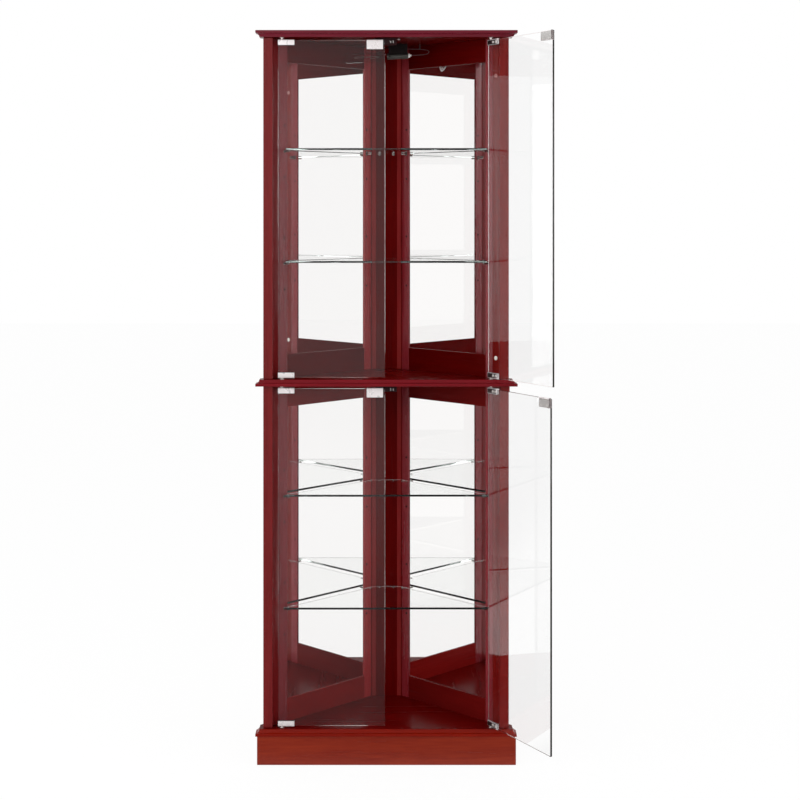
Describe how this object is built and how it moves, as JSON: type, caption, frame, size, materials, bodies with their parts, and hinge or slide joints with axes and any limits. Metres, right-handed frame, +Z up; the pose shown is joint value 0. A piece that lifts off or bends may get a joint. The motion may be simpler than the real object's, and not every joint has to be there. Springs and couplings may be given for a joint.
{
  "type": "corner curio cabinet",
  "caption": "Tall corner display cabinet with mirrored back walls, glass shelves, frameless glass doors and a lamp under the top.",
  "frame": {"origin": "on the floor under the middle of the front, at the posts' front faces", "axes": "+X to the right seen from the front, +Y to the back corner, +Z up"},
  "size_m": [0.7086, 0.4956, 1.794],
  "materials": {
    "mahogany": "glossy reddish mahogany lacquer",
    "backing": "thin stained board",
    "mirror": "silvered glass",
    "door_glass": "clear, polished edges",
    "shelf_glass": "clear, greenish edges",
    "bulb_glass": "clear bulb glass",
    "bright_metal": "bright plated steel",
    "peg_metal": "nickel plated",
    "clip_metal": "thin steel strip",
    "latch_plastic": "dark brown plastic",
    "lamp_black": "black plastic",
    "lead_black": "soft lead",
    "cap_white": "white cap"
  },
  "bodies": {
    "carcass": {"base_panel": "mahogany", "waist_panel": "mahogany", "crown_panel": "mahogany", "plinth_front": "mahogany", "plinth_left": "mahogany", "plinth_right": "mahogany", "post_lower_left": "mahogany", "outer_stile_lower_left": "mahogany", "inner_stile_lower_left": "mahogany", "side_rails_lower_left": "mahogany", "mirror_lower_left": "mirror", "post_lower_right": "mahogany", "outer_stile_lower_right": "mahogany", "inner_stile_lower_right": "mahogany", "side_rails_lower_right": "mahogany", "mirror_lower_right": "mirror", "corner_board_lower": "mahogany", "mirror_backings_lower": "backing", "shelf_lower_low": "shelf_glass", "shelf_lower_high": "shelf_glass", "post_upper_left": "mahogany", "outer_stile_upper_left": "mahogany", "inner_stile_upper_left": "mahogany", "side_rails_upper_left": "mahogany", "mirror_upper_left": "mirror", "post_upper_right": "mahogany", "outer_stile_upper_right": "mahogany", "inner_stile_upper_right": "mahogany", "side_rails_upper_right": "mahogany", "mirror_upper_right": "mirror", "corner_board_upper": "mahogany", "mirror_backings_upper": "backing", "shelf_upper_low": "shelf_glass", "shelf_upper_high": "shelf_glass", "pivot_bushes": "bright_metal", "latch_bodies": "latch_plastic", "shelf_pegs": "peg_metal", "lamp_socket": "lamp_black", "lamp_bulb": "bulb_glass", "lamp_bracket": "lamp_black", "lamp_lead": "lead_black", "lead_clip": "clip_metal", "cord_grommet": "lamp_black", "post_caps": "cap_white"},
    "door_upper_left": {"door_glass_upper_left": "door_glass", "hinge_clips_upper_left": "bright_metal", "strike_plate_upper_left": "bright_metal"},
    "door_upper_right": {"door_glass_upper_right": "door_glass", "hinge_clips_upper_right": "bright_metal", "strike_plate_upper_right": "bright_metal"},
    "door_lower_left": {"door_glass_lower_left": "door_glass", "hinge_clips_lower_left": "bright_metal", "strike_plate_lower_left": "bright_metal"},
    "door_lower_right": {"door_glass_lower_right": "door_glass", "hinge_clips_lower_right": "bright_metal", "strike_plate_lower_right": "bright_metal"},
    "plunger_upper_left": {"latch_plunger_upper_left": "latch_plastic"},
    "plunger_upper_right": {"latch_plunger_upper_right": "latch_plastic"},
    "plunger_lower_left": {"latch_plunger_lower_left": "latch_plastic"},
    "plunger_lower_right": {"latch_plunger_lower_right": "latch_plastic"}
  },
  "joints": [
    {"name": "door_upper_left_hinge", "type": "hinge", "parent": "carcass", "child": "door_upper_left", "pos_m": [-0.2565, 0.0055, 1.359], "axis": [0, 0, -1], "range_deg": [0, 150]},
    {"name": "door_upper_right_hinge", "type": "hinge", "parent": "carcass", "child": "door_upper_right", "pos_m": [0.2565, 0.0055, 1.359], "axis": [0, 0, 1], "range_deg": [-121, 29]},
    {"name": "door_lower_left_hinge", "type": "hinge", "parent": "carcass", "child": "door_lower_left", "pos_m": [-0.2565, 0.0055, 0.505], "axis": [0, 0, -1], "range_deg": [0, 150]},
    {"name": "door_lower_right_hinge", "type": "hinge", "parent": "carcass", "child": "door_lower_right", "pos_m": [0.2565, 0.0055, 0.505], "axis": [0, 0, 1], "range_deg": [-119.5, 30.5]},
    {"name": "plunger_upper_left_slide", "type": "slide", "parent": "carcass", "child": "plunger_upper_left", "axis": [0, 1, 0], "range_m": [0, 0.004], "stiffness_N_per_m": 150},
    {"name": "plunger_upper_right_slide", "type": "slide", "parent": "carcass", "child": "plunger_upper_right", "axis": [0, 1, 0], "range_m": [0, 0.004], "stiffness_N_per_m": 150},
    {"name": "plunger_lower_left_slide", "type": "slide", "parent": "carcass", "child": "plunger_lower_left", "axis": [0, 1, 0], "range_m": [0, 0.004], "stiffness_N_per_m": 150},
    {"name": "plunger_lower_right_slide", "type": "slide", "parent": "carcass", "child": "plunger_lower_right", "axis": [0, 1, 0], "range_m": [0, 0.004], "stiffness_N_per_m": 150}
  ]
}
